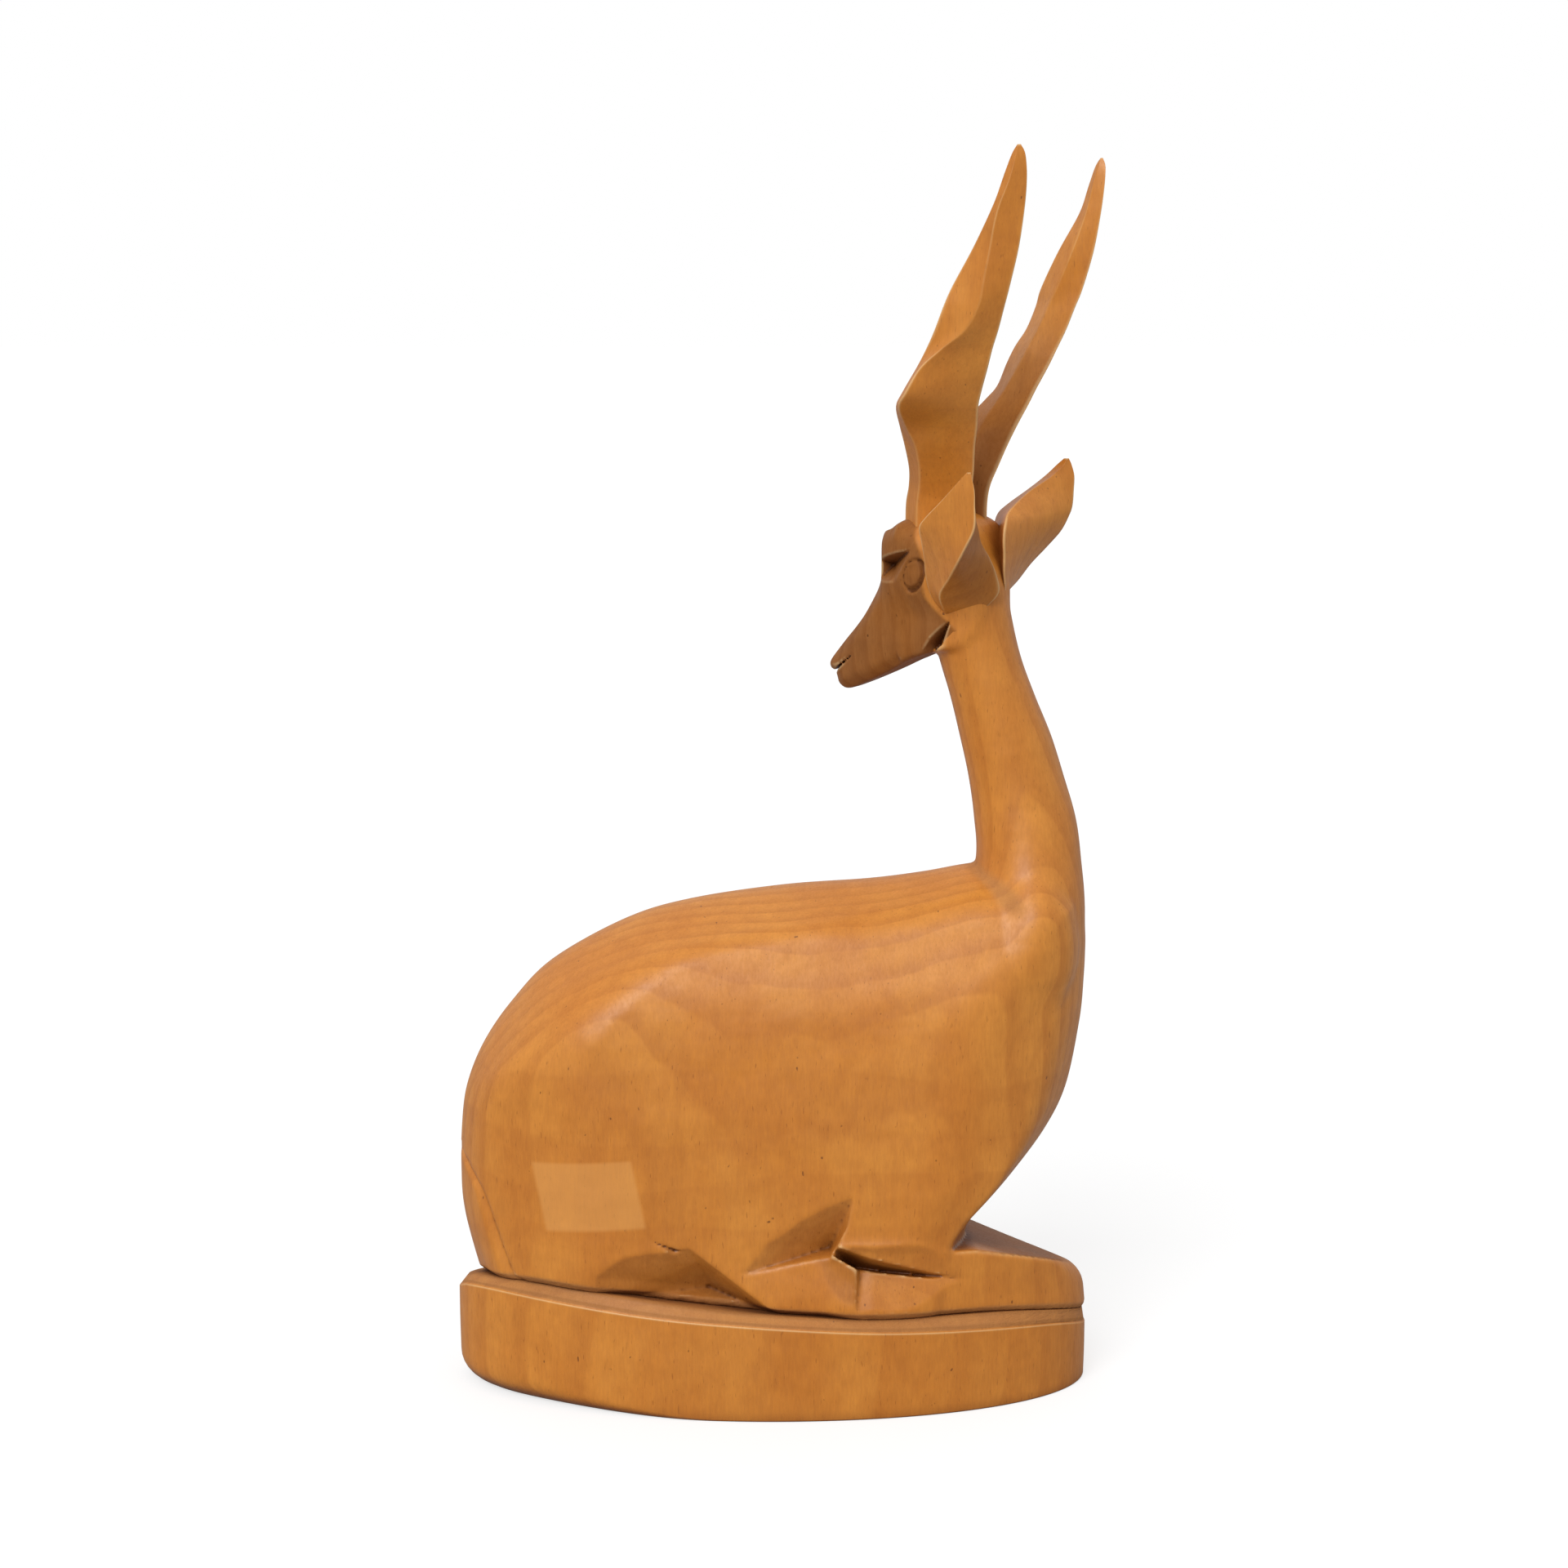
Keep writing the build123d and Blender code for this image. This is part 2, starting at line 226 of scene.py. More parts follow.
# Half width of the torso at each height
flank = ((0, 28), (30, 28.2), (60, 28), (75, 27), (85, 25.8), (92, 24.2), (98, 22), (104, 19.5), (110, 17),
         (118, 13), (130, 8))
# Neck at each height: its rear edge, its front edge and its half width
neck_rear = ((84, 34), (104, 42), (117.3, 44.6), (126.7, 44.1), (135.8, 42.8), (144.8, 40.8), (153.7, 38.6),
             (163.2, 35.8), (184, 30.5))
neck_front = ((84, 67.3), (104, 68.7), (117.6, 67.6), (126.7, 66.3), (135.8, 63.6), (144.8, 60.7),
              (153.7, 57), (162.7, 53.7), (173.3, 51.3), (184, 49.5))
neck_side = ((84, 16), (98, 18.5), (104, 18.5), (110, 16.8), (117.6, 13.6), (126, 11.4), (135.7, 10.1),
             (153.7, 9.1), (173, 8.6), (184, 8.3))
flank_reach = 28.5
# Chisel cuts in each flank: the rim's corners as (x, z), then the deepest point as (x, depth, z)
flank_cuts = (
    # Leaf-shaped facet behind the elbow
    (((19.2, 53.4), (12, 50.4), (3.6, 45.8), (-4.4, 39.2), (-8.0, 31.4), (12.6, 35.2), (14.2, 37.6),
      (17.8, 45.0)), (12.4, 4.8, 36.8)),
    # Bevel that leads into the slit under the forearm
    (((12.2, 40.2), (23, 39.2), (31.5, 36.4), (42.5, 29.8), (34, 31.6), (12.4, 38.4)), (20.0, 1.3, 36.3)),
    # The slit itself
    (((12.3, 39.3), (41.5, 29.8), (36.0, 30.2), (18.5, 33.2), (12.4, 36.8)), (17.6, 8.0, 31.2)),
    # Notch between the hind foot and the foreleg, with its shallow front side
    (((17.8, 37.0), (31.5, 33.6), (42, 29.4), (25, 26.2), (18.4, 26.4)), (19.0, 2.7, 32.4)),
    # Upper side of the hind foot
    (((-5.5, 31.0), (17.6, 29.8), (18.4, 34.0), (13, 36.6), (3, 36.0)), (10.5, 1.2, 35.2)),
    # Undercut between the haunch and the hock, its floor rising inwards
    (((-42.5, 25.4), (-39.5, 31.0), (-26, 36.2), (-18.0, 38), (2.5, 22.0)), (-13.4, 5.4, 27.4)),
    # Nick above the undercut
    (((-26, 39.4), (-19, 37.0), (-20.5, 35.8)), (-21, 1.4, 37.0)),
)
cuts_top = 54.0
# Groove round the tail: its half width at each height, and how deep it is
tail_groove_depth = 1.0
tail_half_width = ((18, 19.6), (22, 19.4), (28, 18.6), (36, 16.6), (44, 14.2), (48, 11.5), (51, 7), (53, 2),
                   (58, 0.5))
# Cut that frees the jaw from the neck, like the flank cuts but as (forward, up)
jaw_cut = (((8.0, 160.0), (4.0, 166.2), (-0.4, 170.4), (1.4, 165.4)), (3.6, 3.8, 164.4))


def flank_place(x):
    """How far the low flank stands out from the middle plane, where the chisel cuts start."""
    wall = 28.2 + 1.1 * ease(x, -12, 4) - 0.9 * ease(-x, 22, 34)
    oval = half_width * np.sqrt(np.maximum(1 - (x / half_length) ** 2, 0.05)) - 1.6 * ease(x, -10, 10)
    return np.minimum(wall, oval)


def torso_field(x, y, z):
    """Torso: a roof that falls from the back's ridge, flat walls and the plinth's oval."""
    depth = inside_depth(x, z, torso_outline)
    wide = ease(x, -55, -25)
    low_front = ease(-z, -72, -46) * ease(x, 12, 30)
    roof = (0.5 - 0.24 * low_front) * (np.sqrt(y * y + 49) - 7) - depth
    flare = 1.2 * ease(-z, -36, -25) * ease(x, -12, 4)
    tuck = 1.2 * ease(-z, -36, -22) * ease(-x, 22, 34)
    walls = np.abs(y) - profile(z, flank) - flare + tuck
    oval = oval_depth(x, y, -0.3 + (rim_inset(x) - 0.3) * ease(-z, -54, -32) * ease(x, -10, 20))
    crisp = 1.6 * ease(x, -28, -18) * ease(-x, -22, -8)
    shell = smooth_max(roof, walls, 13 - 9 * wide - 2.6 * low_front - crisp)
    return smooth_max(shell, oval, 2.5 - 1.5 * low_front)


def neck_field(x, y, z):
    """Neck: a column of ovals that fades out inside the shoulders."""
    rear, front, side = profile(z, neck_rear), profile(z, neck_front), profile(z, neck_side)
    middle, reach = (rear + front) / 2, (front - rear) / 2
    column = (np.sqrt(((x - middle) / reach) ** 2 + (y / side) ** 2) - 1) * np.minimum(reach, side)
    return smooth_max(column, 93 - z, 8.0)


def legs_field(x, y, z):
    """Folded forelegs: a block whose top falls towards the front and the left, and rolls over ahead."""
    ahead = np.maximum(x - 44, 0)
    top = z - (32.3 - 0.28 * ahead - (0.15 + 0.005 * ahead) * y)
    lean = 0.09 * np.maximum(z - 17, 0) * ease(x, 50, 66)
    block = smooth_max(oval_depth(x, y, rim_inset(x) - 0.6) + lean, 0.95 * top, 1.0 + 4 * ease(x, 60, 68))
    return smooth_max(block, 12 - x, 8.0)


def joint_depth(forward, up):
    """Distance in front of the face between neck and head, seen in the head's middle plane."""
    run, rise = throat[0] - nape[0], nape[1] - throat[1]
    return ((forward - throat[0]) * rise + (up - throat[1]) * run) / math.hypot(run, rise)


def cut_in(field, x, y, z, cut, reach, soft=0.12):
    """The field with one chisel cut taken out, on the side where y is positive."""
    rim, (deep_x, depth, deep_z) = cut
    deepest = (deep_x, reach - depth, deep_z)
    corners = [(cx, reach, cz) for cx, cz in rim]
    return smooth_max(field, -pit(x, y, z, corners, deepest), soft)


# Head, worked out as (forward, left, up)
head_outline = curve_through(
    (throat, (11, 161.0), (17.5, 157.7), (24, 154.7), (28.4, 153.2), (30.7, 154.1), (31.3, 155.6),
     (31.7, 156.7), (33.0, 157.6), (32.9, 159.3), (29.6, 163.0), (25.3, 167.5), (22.5, 171), (20.7, 175.0),
     (20.0, 177.8), (20.0, 181.4), (19.9, 186), (18.4, 188.4), (14.6, 189.8), (11.5, 192), (6, 194.2),
     (-1.2, 192.8), (-5.2, 187.5), (-7.4, 181.5), (-8.0, 176), (-4, 166)),
    steps=4,
    closed=True,
)
skull_width = ((-14, 1), (-9, 4.2), (-5, 8.2), (0, 11.6), (6, 12.2), (10, 11.2), (13, 9.8), (16.8, 7.2),
               (20, 3), (24, 1))
muzzle_width = ((-14, 2), (-6, 7), (0, 9.3), (4.5, 9.5), (10, 8.4), (16, 7.1), (24, 5.4), (31, 3.9), (36, 3))
brow_cut = (((19.6, 183.4), (11.6, 183.6), (13.6, 179.6), (19.4, 176.4)), (15.6, 4.2, 181.6))
eye_middle = (7.1, 180.4)
eye_lean = math.radians(27)
eye_half_length = 3.4
eye_half_width = 2.3


def eye_ring(a, z):
    """1 on the eye's outline and less inside it, then how far the place lies towards the rear."""
    da, dz = a - eye_middle[0], z - eye_middle[1]
    c, s = math.cos(eye_lean), math.sin(eye_lean)
    along, across = (dz * c - da * s) / eye_half_length, (da * c + dz * s) / eye_half_width
    return np.hypot(along, across), -across


def head_width(a, z):
    """Half width of the head, which changes from muzzle to skull on the way up."""
    share = ease(z, 170, 181)
    width = (1 - share) * profile(a, muzzle_width) + share * profile(a, skull_width)
    return width + 0.10 * np.clip(z - 165, -10, 0)


def head_field(a, b, z):
    """Head: its side outline and width, the crown, a bevel along its edge, brow cut, eye and mouth."""
    side = np.abs(b)
    depth = inside_depth(a, z, head_outline)
    width = head_width(a, z)
    head = smooth_max(-depth, 0.85 * (side - width), 1.6)
    crown = 0.9 * (z - 194.4 + 0.045 * side**2)
    head = smooth_max(head, crown, 2.0)
    bevel = 0.8 * (side - width + 1.7 - 1.3 * np.maximum(13 - a, 0)) - 0.6 * depth
    head = smooth_max(head, bevel, 0.6)
    head = cut_in(head, a, side, z, brow_cut, 7.6, 0.3)
    ring, rear = eye_ring(a, z)
    inset = width - side
    groove = np.hypot((ring - 1) * 2.6, inset * 0.7) - 0.34 - 0.42 * ease(rear, -0.6, 0.6)
    head = smooth_max(head, -groove, 0.25)
    hollow = np.maximum((ring - 1) * 3.0, -inset - 2) + 0 * side
    head = np.where(hollow < 0, np.maximum(head, 0.45 * ease(-ring, -1, -0.7) - inset), head)
    lip = np.abs(z - 156.7 - 0.72 * (31.9 - a)) * 0.8 - 0.10 - 0.04 * np.maximum(a - 26, 0)
    mouth = np.maximum(np.maximum(lip, 25.6 - a), width - 1.5 - 0.5 * np.maximum(a - 28, 0) - side)
    return smooth_max(head, -mouth, 0.25)


def joined_neck(x, y, z, a, b):
    """Neck and head run into one another; the jaw is undercut where it meets the neck."""
    both = smooth_min(smooth_max(neck_field(x, y, z), z - joint_ceiling, 3.0), head_field(a, b, z), 1.6)
    return cut_in(both, a, np.abs(b), z, jaw_cut, 8.6, 0.3)


def uncut_body(x, y, z):
    """Torso and legs before the chisel cuts."""
    return smooth_min(torso_field(x, y, z), legs_field(x, y, z), 1.0 + 3 * ease(-x, -38, -30))


def body_field(x, y, z):
    """Torso, legs and neck with their cuts, from the seat up to the head's joint."""
    body = uncut_body(x, y, z)
    meeting = 1.2 + 7 * ease(x, 46, 60) * ease(np.abs(y), 7, 17)
    body = smooth_min(body, smooth_max(neck_field(x, y, z), oval_depth(x, y, -0.3), 2.5), meeting)
    body = np.broadcast_to(body, np.broadcast_shapes(x.shape, y.shape, z.shape)).copy()
    low = z.ravel() < cuts_top
    for side in (-1, 1):
        for cut in flank_cuts:
            outward = side * y + flank_reach - flank_place(x)
            body[:, :, low] = cut_in(body[:, :, low], x, outward, z[:, :, low], cut, flank_reach)
    below, above = (profile(z[:, :, low] + step, tail_half_width) for step in (-0.5, 0.5))
    tail = np.abs(np.abs(y) - (below + above) / 2) / np.hypot(1, above - below)
    tail = np.maximum(0.8 * tail - body[:, :, low] - tail_groove_depth, x + 50)
    body[:, :, low] = smooth_max(body[:, :, low], -tail, 0.3)
    high = z.ravel() > joint_floor
    a, b = row_to_head(x, y)
    past = joint_depth(a, z[:, :, high])
    neck = joined_neck(x, y, z[:, :, high], a, b) + joint_taper * np.maximum(past - joint_lap, 0)
    body[:, :, high] = np.maximum(neck, past - joint_overlap)
    above_seat = z - seat(x, y)
    body = body + (0.9 - 0.5 * ease(x, 40, 66)) * np.clip(1.5 - above_seat, 0, 1.5)
    return np.maximum(body, -above_seat)


body_step = 0.5
torso_block = ((-72, -34, 12), (72, 34, 124))
neck_block = ((22, -20, 124), (72, 20, 184))
body_mesh = relaxed(*sculpt(body_field, (torso_block, neck_block), body_step), 2)


def whole_head_field(a, b, z):
    """Head in its own directions, from the joint with the neck onwards."""
    c, s = math.cos(head_turn), math.sin(head_turn)
    x = head_axis_x + c * a - s * b
    y = s * a + c * b
    past = joint_depth(a, z)
    neck = joined_neck(x, y, z, a, b) + joint_taper * np.maximum(-past - joint_lap, 0)
    return np.maximum(neck, -past - joint_overlap)


head_step = 0.34
head_block = ((-16, -17, 150), (37, 17, 198))
head_vertices, head_faces = relaxed(*sculpt(whole_head_field, (head_block,), head_step), 3)
head_mesh = head_to_row(head_vertices), head_faces


def lofted(rings):
    """Closed surface through rings of equal point counts, capped at both ends."""
    rings = np.array(rings)
    levels, count = rings.shape[:2]
    vertices = [*rings.reshape(-1, 3), rings[0].mean(axis=0), rings[-1].mean(axis=0)]
    faces = []
    for level in range(levels - 1):
        for i in range(count):
            j = (i + 1) % count
            low, high = level * count, (level + 1) * count
            faces.append((low + i, low + j, high + j, high + i))
    for i in range(count):
        j = (i + 1) % count
        faces.append((levels * count, j, i))
        top = (levels - 1) * count
        faces.append((levels * count + 1, top + i, top + j))
    return np.array(vertices), faces


def rounded_corners(corners, bite, along=7, round_steps=4):
    """Ring of points round a polygon, each corner rounded off over a share of its two edges."""
    ring = []
    count = len(corners)
    for i in range(count):
        before, here, after = corners[i - 1], corners[i], corners[(i + 1) % count]
        start = here + (before - here) * bite
        end = here + (after - here) * bite
        for step in range(round_steps):
            t = step / round_steps
            ring.append(start * (1 - t) ** 2 + here * 2 * t * (1 - t) + end * t * t)
        stop = after + (here - after) * bite
        for step in range(along):
            ring.append(end + (stop - end) * step / along)
    return ring


horn_stations = (
    # height, front corner, rear corner, thickness, place of the outer ridge along the chord
    (188, (11.6, 6.0), (-2.6, 4.0), 7.6, 0.28),
    (195, (11.4, 6.2), (-2.7, 4.0), 8.0, 0.28),
    (199, (10.2, 7.2), (-3.2, 4.4), 8.0, 0.26),
    (203, (9.1, 9.2), (-4.3, 5.8), 8.0, 0.24),
    (208, (8.6, 12.2), (-5.6, 8.0), 8.0, 0.22),
    (212.5, (8.1, 15.4), (-7.1, 9.9), 7.8, 0.12),
    (216.8, (6.2, 20.5), (-8.5, 12.2), 7.6, 0.03),
    (220, (3.9, 21.9), (-9.7, 13.2), 7.2, 0.02),
    (225, (1.2, 20.9), (-11.8, 14.7), 6.8, 0.06),
    (229, (-0.9, 20.8), (-13.3, 15.7), 6.5, 0.27),
    (233, (-3.2, 21.7), (-14.9, 16.4), 6.2, 0.52),
    (238, (-5.3, 21.8), (-16.6, 17.1), 5.6, 0.62),
    (242, (-6.9, 21.0), (-18.0, 17.7), 5.2, 0.6),
    (250, (-11.3, 20.1), (-20.2, 18.2), 4.3, 0.46),
    (258.4, (-16.0, 20.6), (-21.6, 18.6), 3.2, 0.25),
    (264, (-18.1, 20.4), (-22.1, 19.0), 2.5, 0.38),
    (268.5, (-19.7, 20.2), (-22.1, 19.6), 1.6, 0.45),
    (270.5, (-20.8, 20.2), (-21.4, 20.0), 0.7, 0.45),
)
horn_root = 195
corner_reach = 0.4
inner_ridge = 0.6


def horn_mesh(side, node_name):
    """One horn, its four corners carried smoothly from station to station up to its CAD node's tip."""
    tip_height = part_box(node_name)[1][2] / MM
    table = np.array([(z, *front, *rear, thick, ridge) for z, front, rear, thick, ridge in horn_stations])
    fine = curve_through(table, steps=5)
    stretch = (tip_height - horn_root) / (table[-1, 0] - horn_root)
    rings = []
    for z, fa, fb, ra, rb, thick, ridge in fine:
        front, rear = np.array([fa, fb]), np.array([ra, rb])
        chord = rear - front
        outward = np.array([chord[1], -chord[0]]) / np.hypot(*chord)
        reach = chord * min(corner_reach / np.hypot(*chord), 0.1)
        front, rear = front - reach, rear + reach
        outer = front + chord * ridge + outward * thick * 0.5
        inner = front + chord * inner_ridge - outward * thick * 0.5
        ring = rounded_corners([front, outer, rear, inner], 0.07)
        up = horn_root + (z - horn_root) * stretch if z > horn_root else z
        level = [(p[0], side * p[1], up) for p in (ring if side > 0 else ring[::-1])]
        rings.append(head_to_row(level))
    return lofted(rings)


near_ear = (
    # height, front, rear and inner corner
    (171.0, (1.0, 6.6), (0.0, 7.4), (-4.0, 4.2)),
    (173.6, (2.2, 9.4), (-0.4, 11.8), (-7.5, 5.0)),
    (177, (3.2, 11.4), (-1.5, 15.6), (-10.4, 4.4)),
    (180.8, (3.5, 13.0), (-5.2, 18.8), (-10.2, 5.4)),
    (184.5, (3.0, 14.8), (-8.6, 21.5), (-9.6, 7.6)),
    (188, (2.5, 17.0), (-11.3, 23.0), (-8.8, 10.4)),
    (191.4, (2.2, 18.8), (-13.5, 23.7), (-9.2, 13.0)),
    (193.6, (0.2, 19.8), (-14.1, 24.0), (-9.6, 15.2)),
    (197, (-4.1, 21.5), (-14.1, 24.3), (-10.2, 18.8)),
    (200, (-7.6, 22.7), (-14.0, 24.4), (-11.2, 21.0)),
    (202.4, (-10.1, 23.2), (-13.3, 24.2), (-12.0, 22.3)),
    (203.8, (-11.7, 23.5), (-12.7, 23.9), (-12.4, 23.1)),
)
# The far ear is broader at its root and runs into the back of the skull
far_ear = (
    (171.0, (0.5, 6.6), (-1.5, 7.4), (-3.6, 4.6)),
    (173.8, (2.4, 9.2), (-2.2, 12.4), (-7.6, 3.6)),
    (177, (3.4, 10.8), (-4.4, 16.0), (-9.0, 0.6)),
    (180.8, (3.6, 12.4), (-6.4, 19.0), (-9.3, -0.8)),
    (184.5, (3.0, 14.6), (-9.2, 21.5), (-9.2, -0.8)),
    (188, (2.5, 17.0), (-11.9, 23.0), (-9.0, -0.8)),
    (191.4, (2.2, 18.8), (-13.5, 23.7), (-8.6, 0.8)),
    (193.6, (0.2, 19.8), (-14.1, 24.0), (-7.8, 4.6)),
    (197, (-4.1, 21.5), (-14.1, 24.3), (-8.0, 13.4)),
    (200, (-7.6, 22.7), (-14.0, 24.4), (-10.4, 20.0)),
    (202.4, (-10.1, 23.2), (-13.3, 24.2), (-12.0, 22.7)),
    (203.8, (-11.7, 23.5), (-12.7, 23.9), (-12.4, 23.3)),
)


def ear_mesh(side, stations):
    """One ear: a leaf-shaped outer face, a hollowed rear face and an inner face towards the horn."""
    table = np.array([(z, *front, *rear, *inner) for z, front, rear, inner in stations])
    rings = []
    for z, *corners in curve_through(table, steps=5):
        corners = np.array(corners).reshape(3, 2)
        ring = rounded_corners(corners, 0.05, along=12)
        level = [(p[0], side * p[1], z) for p in (ring if side > 0 else ring[::-1])]
        rings.append(head_to_row(level))
    return lofted(rings)


# Plinth
def plinth_mesh():
    """Oval plinth: rounded foot, wall, crisp rim, rough bevel up to the seat, and the sloping seat."""
    around = 480
    angle = np.linspace(0, 2 * math.pi, around, endpoint=False)
    ahead, left = np.cos(angle), np.sin(angle)
    foot = 0.5 + 5.5 * ease(-half_length * ahead, 12, 58)

    def ring(inset, height):
        x = (half_length - inset) * ahead
        y = (half_width - inset) * left
        return np.stack([x, y, height(x, y) + 0 * x], axis=1)

    rings = [ring(half_width * share, lambda x, y: 0) for share in (0.97, 0.6, 0.3)]
    for step in range(9):
        turn = step / 8 * math.pi / 2
        rings.append(ring(0.15 + foot * (1 - math.sin(turn)), lambda x, y, t=turn: foot * (1 - math.cos(t))))
    for share in np.linspace(0.1, 1, 14):
        inset = 0.15 * (1 - math.sin(min(1, share * 1.4) * math.pi / 2))
        rings.append(ring(inset, lambda x, y, s=share: foot + (rim(x, y) - 0.45 - foot) * s))
    for inset, lift in ((0.0, -0.2), (0.06, -0.06), (0.16, 0.03), (0.28, 0.16)):
        rings.append(ring(inset, lambda x, y, lift=lift: rim(x, y) + lift))
    for share in np.linspace(0.15, 1, 8):
        bevel = 0.2 + (rim_inset(half_length * ahead) - 0.2) * share
        rings.append(ring(bevel, lambda x, y, s=share: rim(x, y) + (seat(x, y) - rim(x, y)) * s))
    for inset in (4, 7, 12, 20, half_width * 0.97):
        rings.append(ring(inset, seat))
    return lofted(rings)


kept_share = 0.42


def in_metres(mesh):
    return mesh[0] * MM, mesh[1]


def thin_out(piece, share):
    """Drop vertices where the surface is nearly flat, keeping the given share of the triangles."""
    fewer = piece.modifiers.new("fewer", "DECIMATE")
    fewer.ratio = share
    depsgraph = bpy.context.evaluated_depsgraph_get()
    mesh = bpy.data.meshes.new_from_object(piece.evaluated_get(depsgraph))
    piece.modifiers.clear()
    piece.data = mesh


body_piece = new_piece("body_carving", *in_metres(body_mesh), "carved_wood", "body")
thin_out(body_piece, kept_share)
head_piece = new_piece("head_carving", *in_metres(head_mesh), "carved_wood", "head")
left_mesh = horn_mesh(1, "left_horn")
left_horn = new_piece("left_horn_carving", *in_metres(left_mesh), "carved_wood", "left_horn")
right_mesh = horn_mesh(-1, "right_horn")
right_horn = new_piece("right_horn_carving", *in_metres(right_mesh), "carved_wood", "right_horn")
left_ear = new_piece("left_ear_carving", *in_metres(ear_mesh(1, near_ear)), "carved_wood", "left_ear")
right_ear = new_piece("right_ear_carving", *in_metres(ear_mesh(-1, far_ear)), "carved_wood", "right_ear")
plinth_piece = new_piece("plinth_carving", *in_metres(plinth_mesh()), "carved_wood", "plinth")
pieces = [body_piece, head_piece, left_horn, right_horn, left_ear, right_ear, plinth_piece]


# Marks that the carver and the years left, and painted shade in cuts, hollows and faces turned from the
# light, kept as numbers on each vertex
def face_shade(x, y, z):
    """Painted shade over the muzzle, the eye and the brow."""
    forward, _ = row_to_head(x, y)
    start = 7.6 * ease(z, 166, 177) - 3 + 2.5 * ease(z, 184, 190)
    return ease(forward, start - 0.8, start + 0.8)


def cut_shade(x, y, z, up):
    """Painted shade in the chisel cuts, deepest at their bottoms, and on top of the forelegs under the
    chest.
    """
    depth = -uncut_body(x, y, z)
    low = ease(-z, -53, -50) * ease(x, -45, -42)
    shallow = 0.42 - 0.30 * ease(x, 17, 20)
    cuts = low * (shallow * ease(depth, 0.05, 0.30) + 0.45 * ease(depth, 1.4, 4.0))
    lap = ease(x, 37, 40) * ease(-z, -36, -33) * ease(up, 0.66, 0.80) * ease(-x, -69, -62)
    return np.maximum(cuts, lap)


def neck_crease(x, y, z):
    """Rough tool marks where the back runs into the neck."""
    share = np.clip((np.abs(y) - 4) / 16, 0, 1)
    return ease(-np.hypot(x - 44.6 - 8.4 * share, z - 115.5 + 5.5 * share), -3.2, -0.8)


def under_jaw(x, y, z):
    """Dark, roughly cut strip along the lower edge of the jaw."""
    forward, _ = row_to_head(x, y)
    above = z - 163.4 + 0.46 * (forward - 5)
    strip = ease(-above, -0.4 - 2.0 * ease(-forward, -22, -6), 0.4)
    return strip * ease(-forward, -25, -18) * ease(forward, -1, 2)


def points_and_normals(piece):
    count = len(piece.data.vertices)
    points, normals = np.empty(count * 3, np.float32), np.empty(count * 3, np.float32)
    piece.data.vertices.foreach_get("co", points)
    piece.data.vertex_normals.foreach_get("vector", normals)
    return points.reshape(-1, 3).T / MM, normals.reshape(-1, 3).T


def curvature(piece):
    """Above nothing on outward edges and below nothing in creases, in turns per millimetre."""
    points, normals = points_and_normals(piece)
    ends = np.empty(len(piece.data.edges) * 2, np.int32)
    piece.data.edges.foreach_get("vertices", ends)
    a, b = ends.reshape(-1, 2).T
    here, there = np.concatenate([a, b]), np.concatenate([b, a])
    run = points[:, there] - points[:, here]
    bend = -(run * normals[:, here]).sum(axis=0) / np.maximum((run * run).sum(axis=0), 0.02)
    count = np.maximum(np.bincount(here, minlength=points.shape[1]), 1)
    bend = np.bincount(here, bend, points.shape[1]) / count
    for _ in range(4):
        bend = 0.5 * bend + 0.5 * np.bincount(here, bend[there], points.shape[1]) / count
    return bend


def mark(piece, shade_and_stain, rough, edge_dulling=0.0):
    """Write the piece's marks; the last argument takes the pale shine off its outward edges, which is partly
    wear and partly painted highlight.
    """
    bend = curvature(piece)
    edge_and_crease = np.where(bend > 0, np.maximum(bend - edge_dulling, 0), bend)
    for name, values in (("shade_and_stain", shade_and_stain), ("rough", rough), ("edge", edge_and_crease)):
        layer = piece.data.attributes.new(name, "FLOAT", "POINT")
        layer.data.foreach_set("value", np.broadcast_to(values, bend.shape).astype(np.float32))


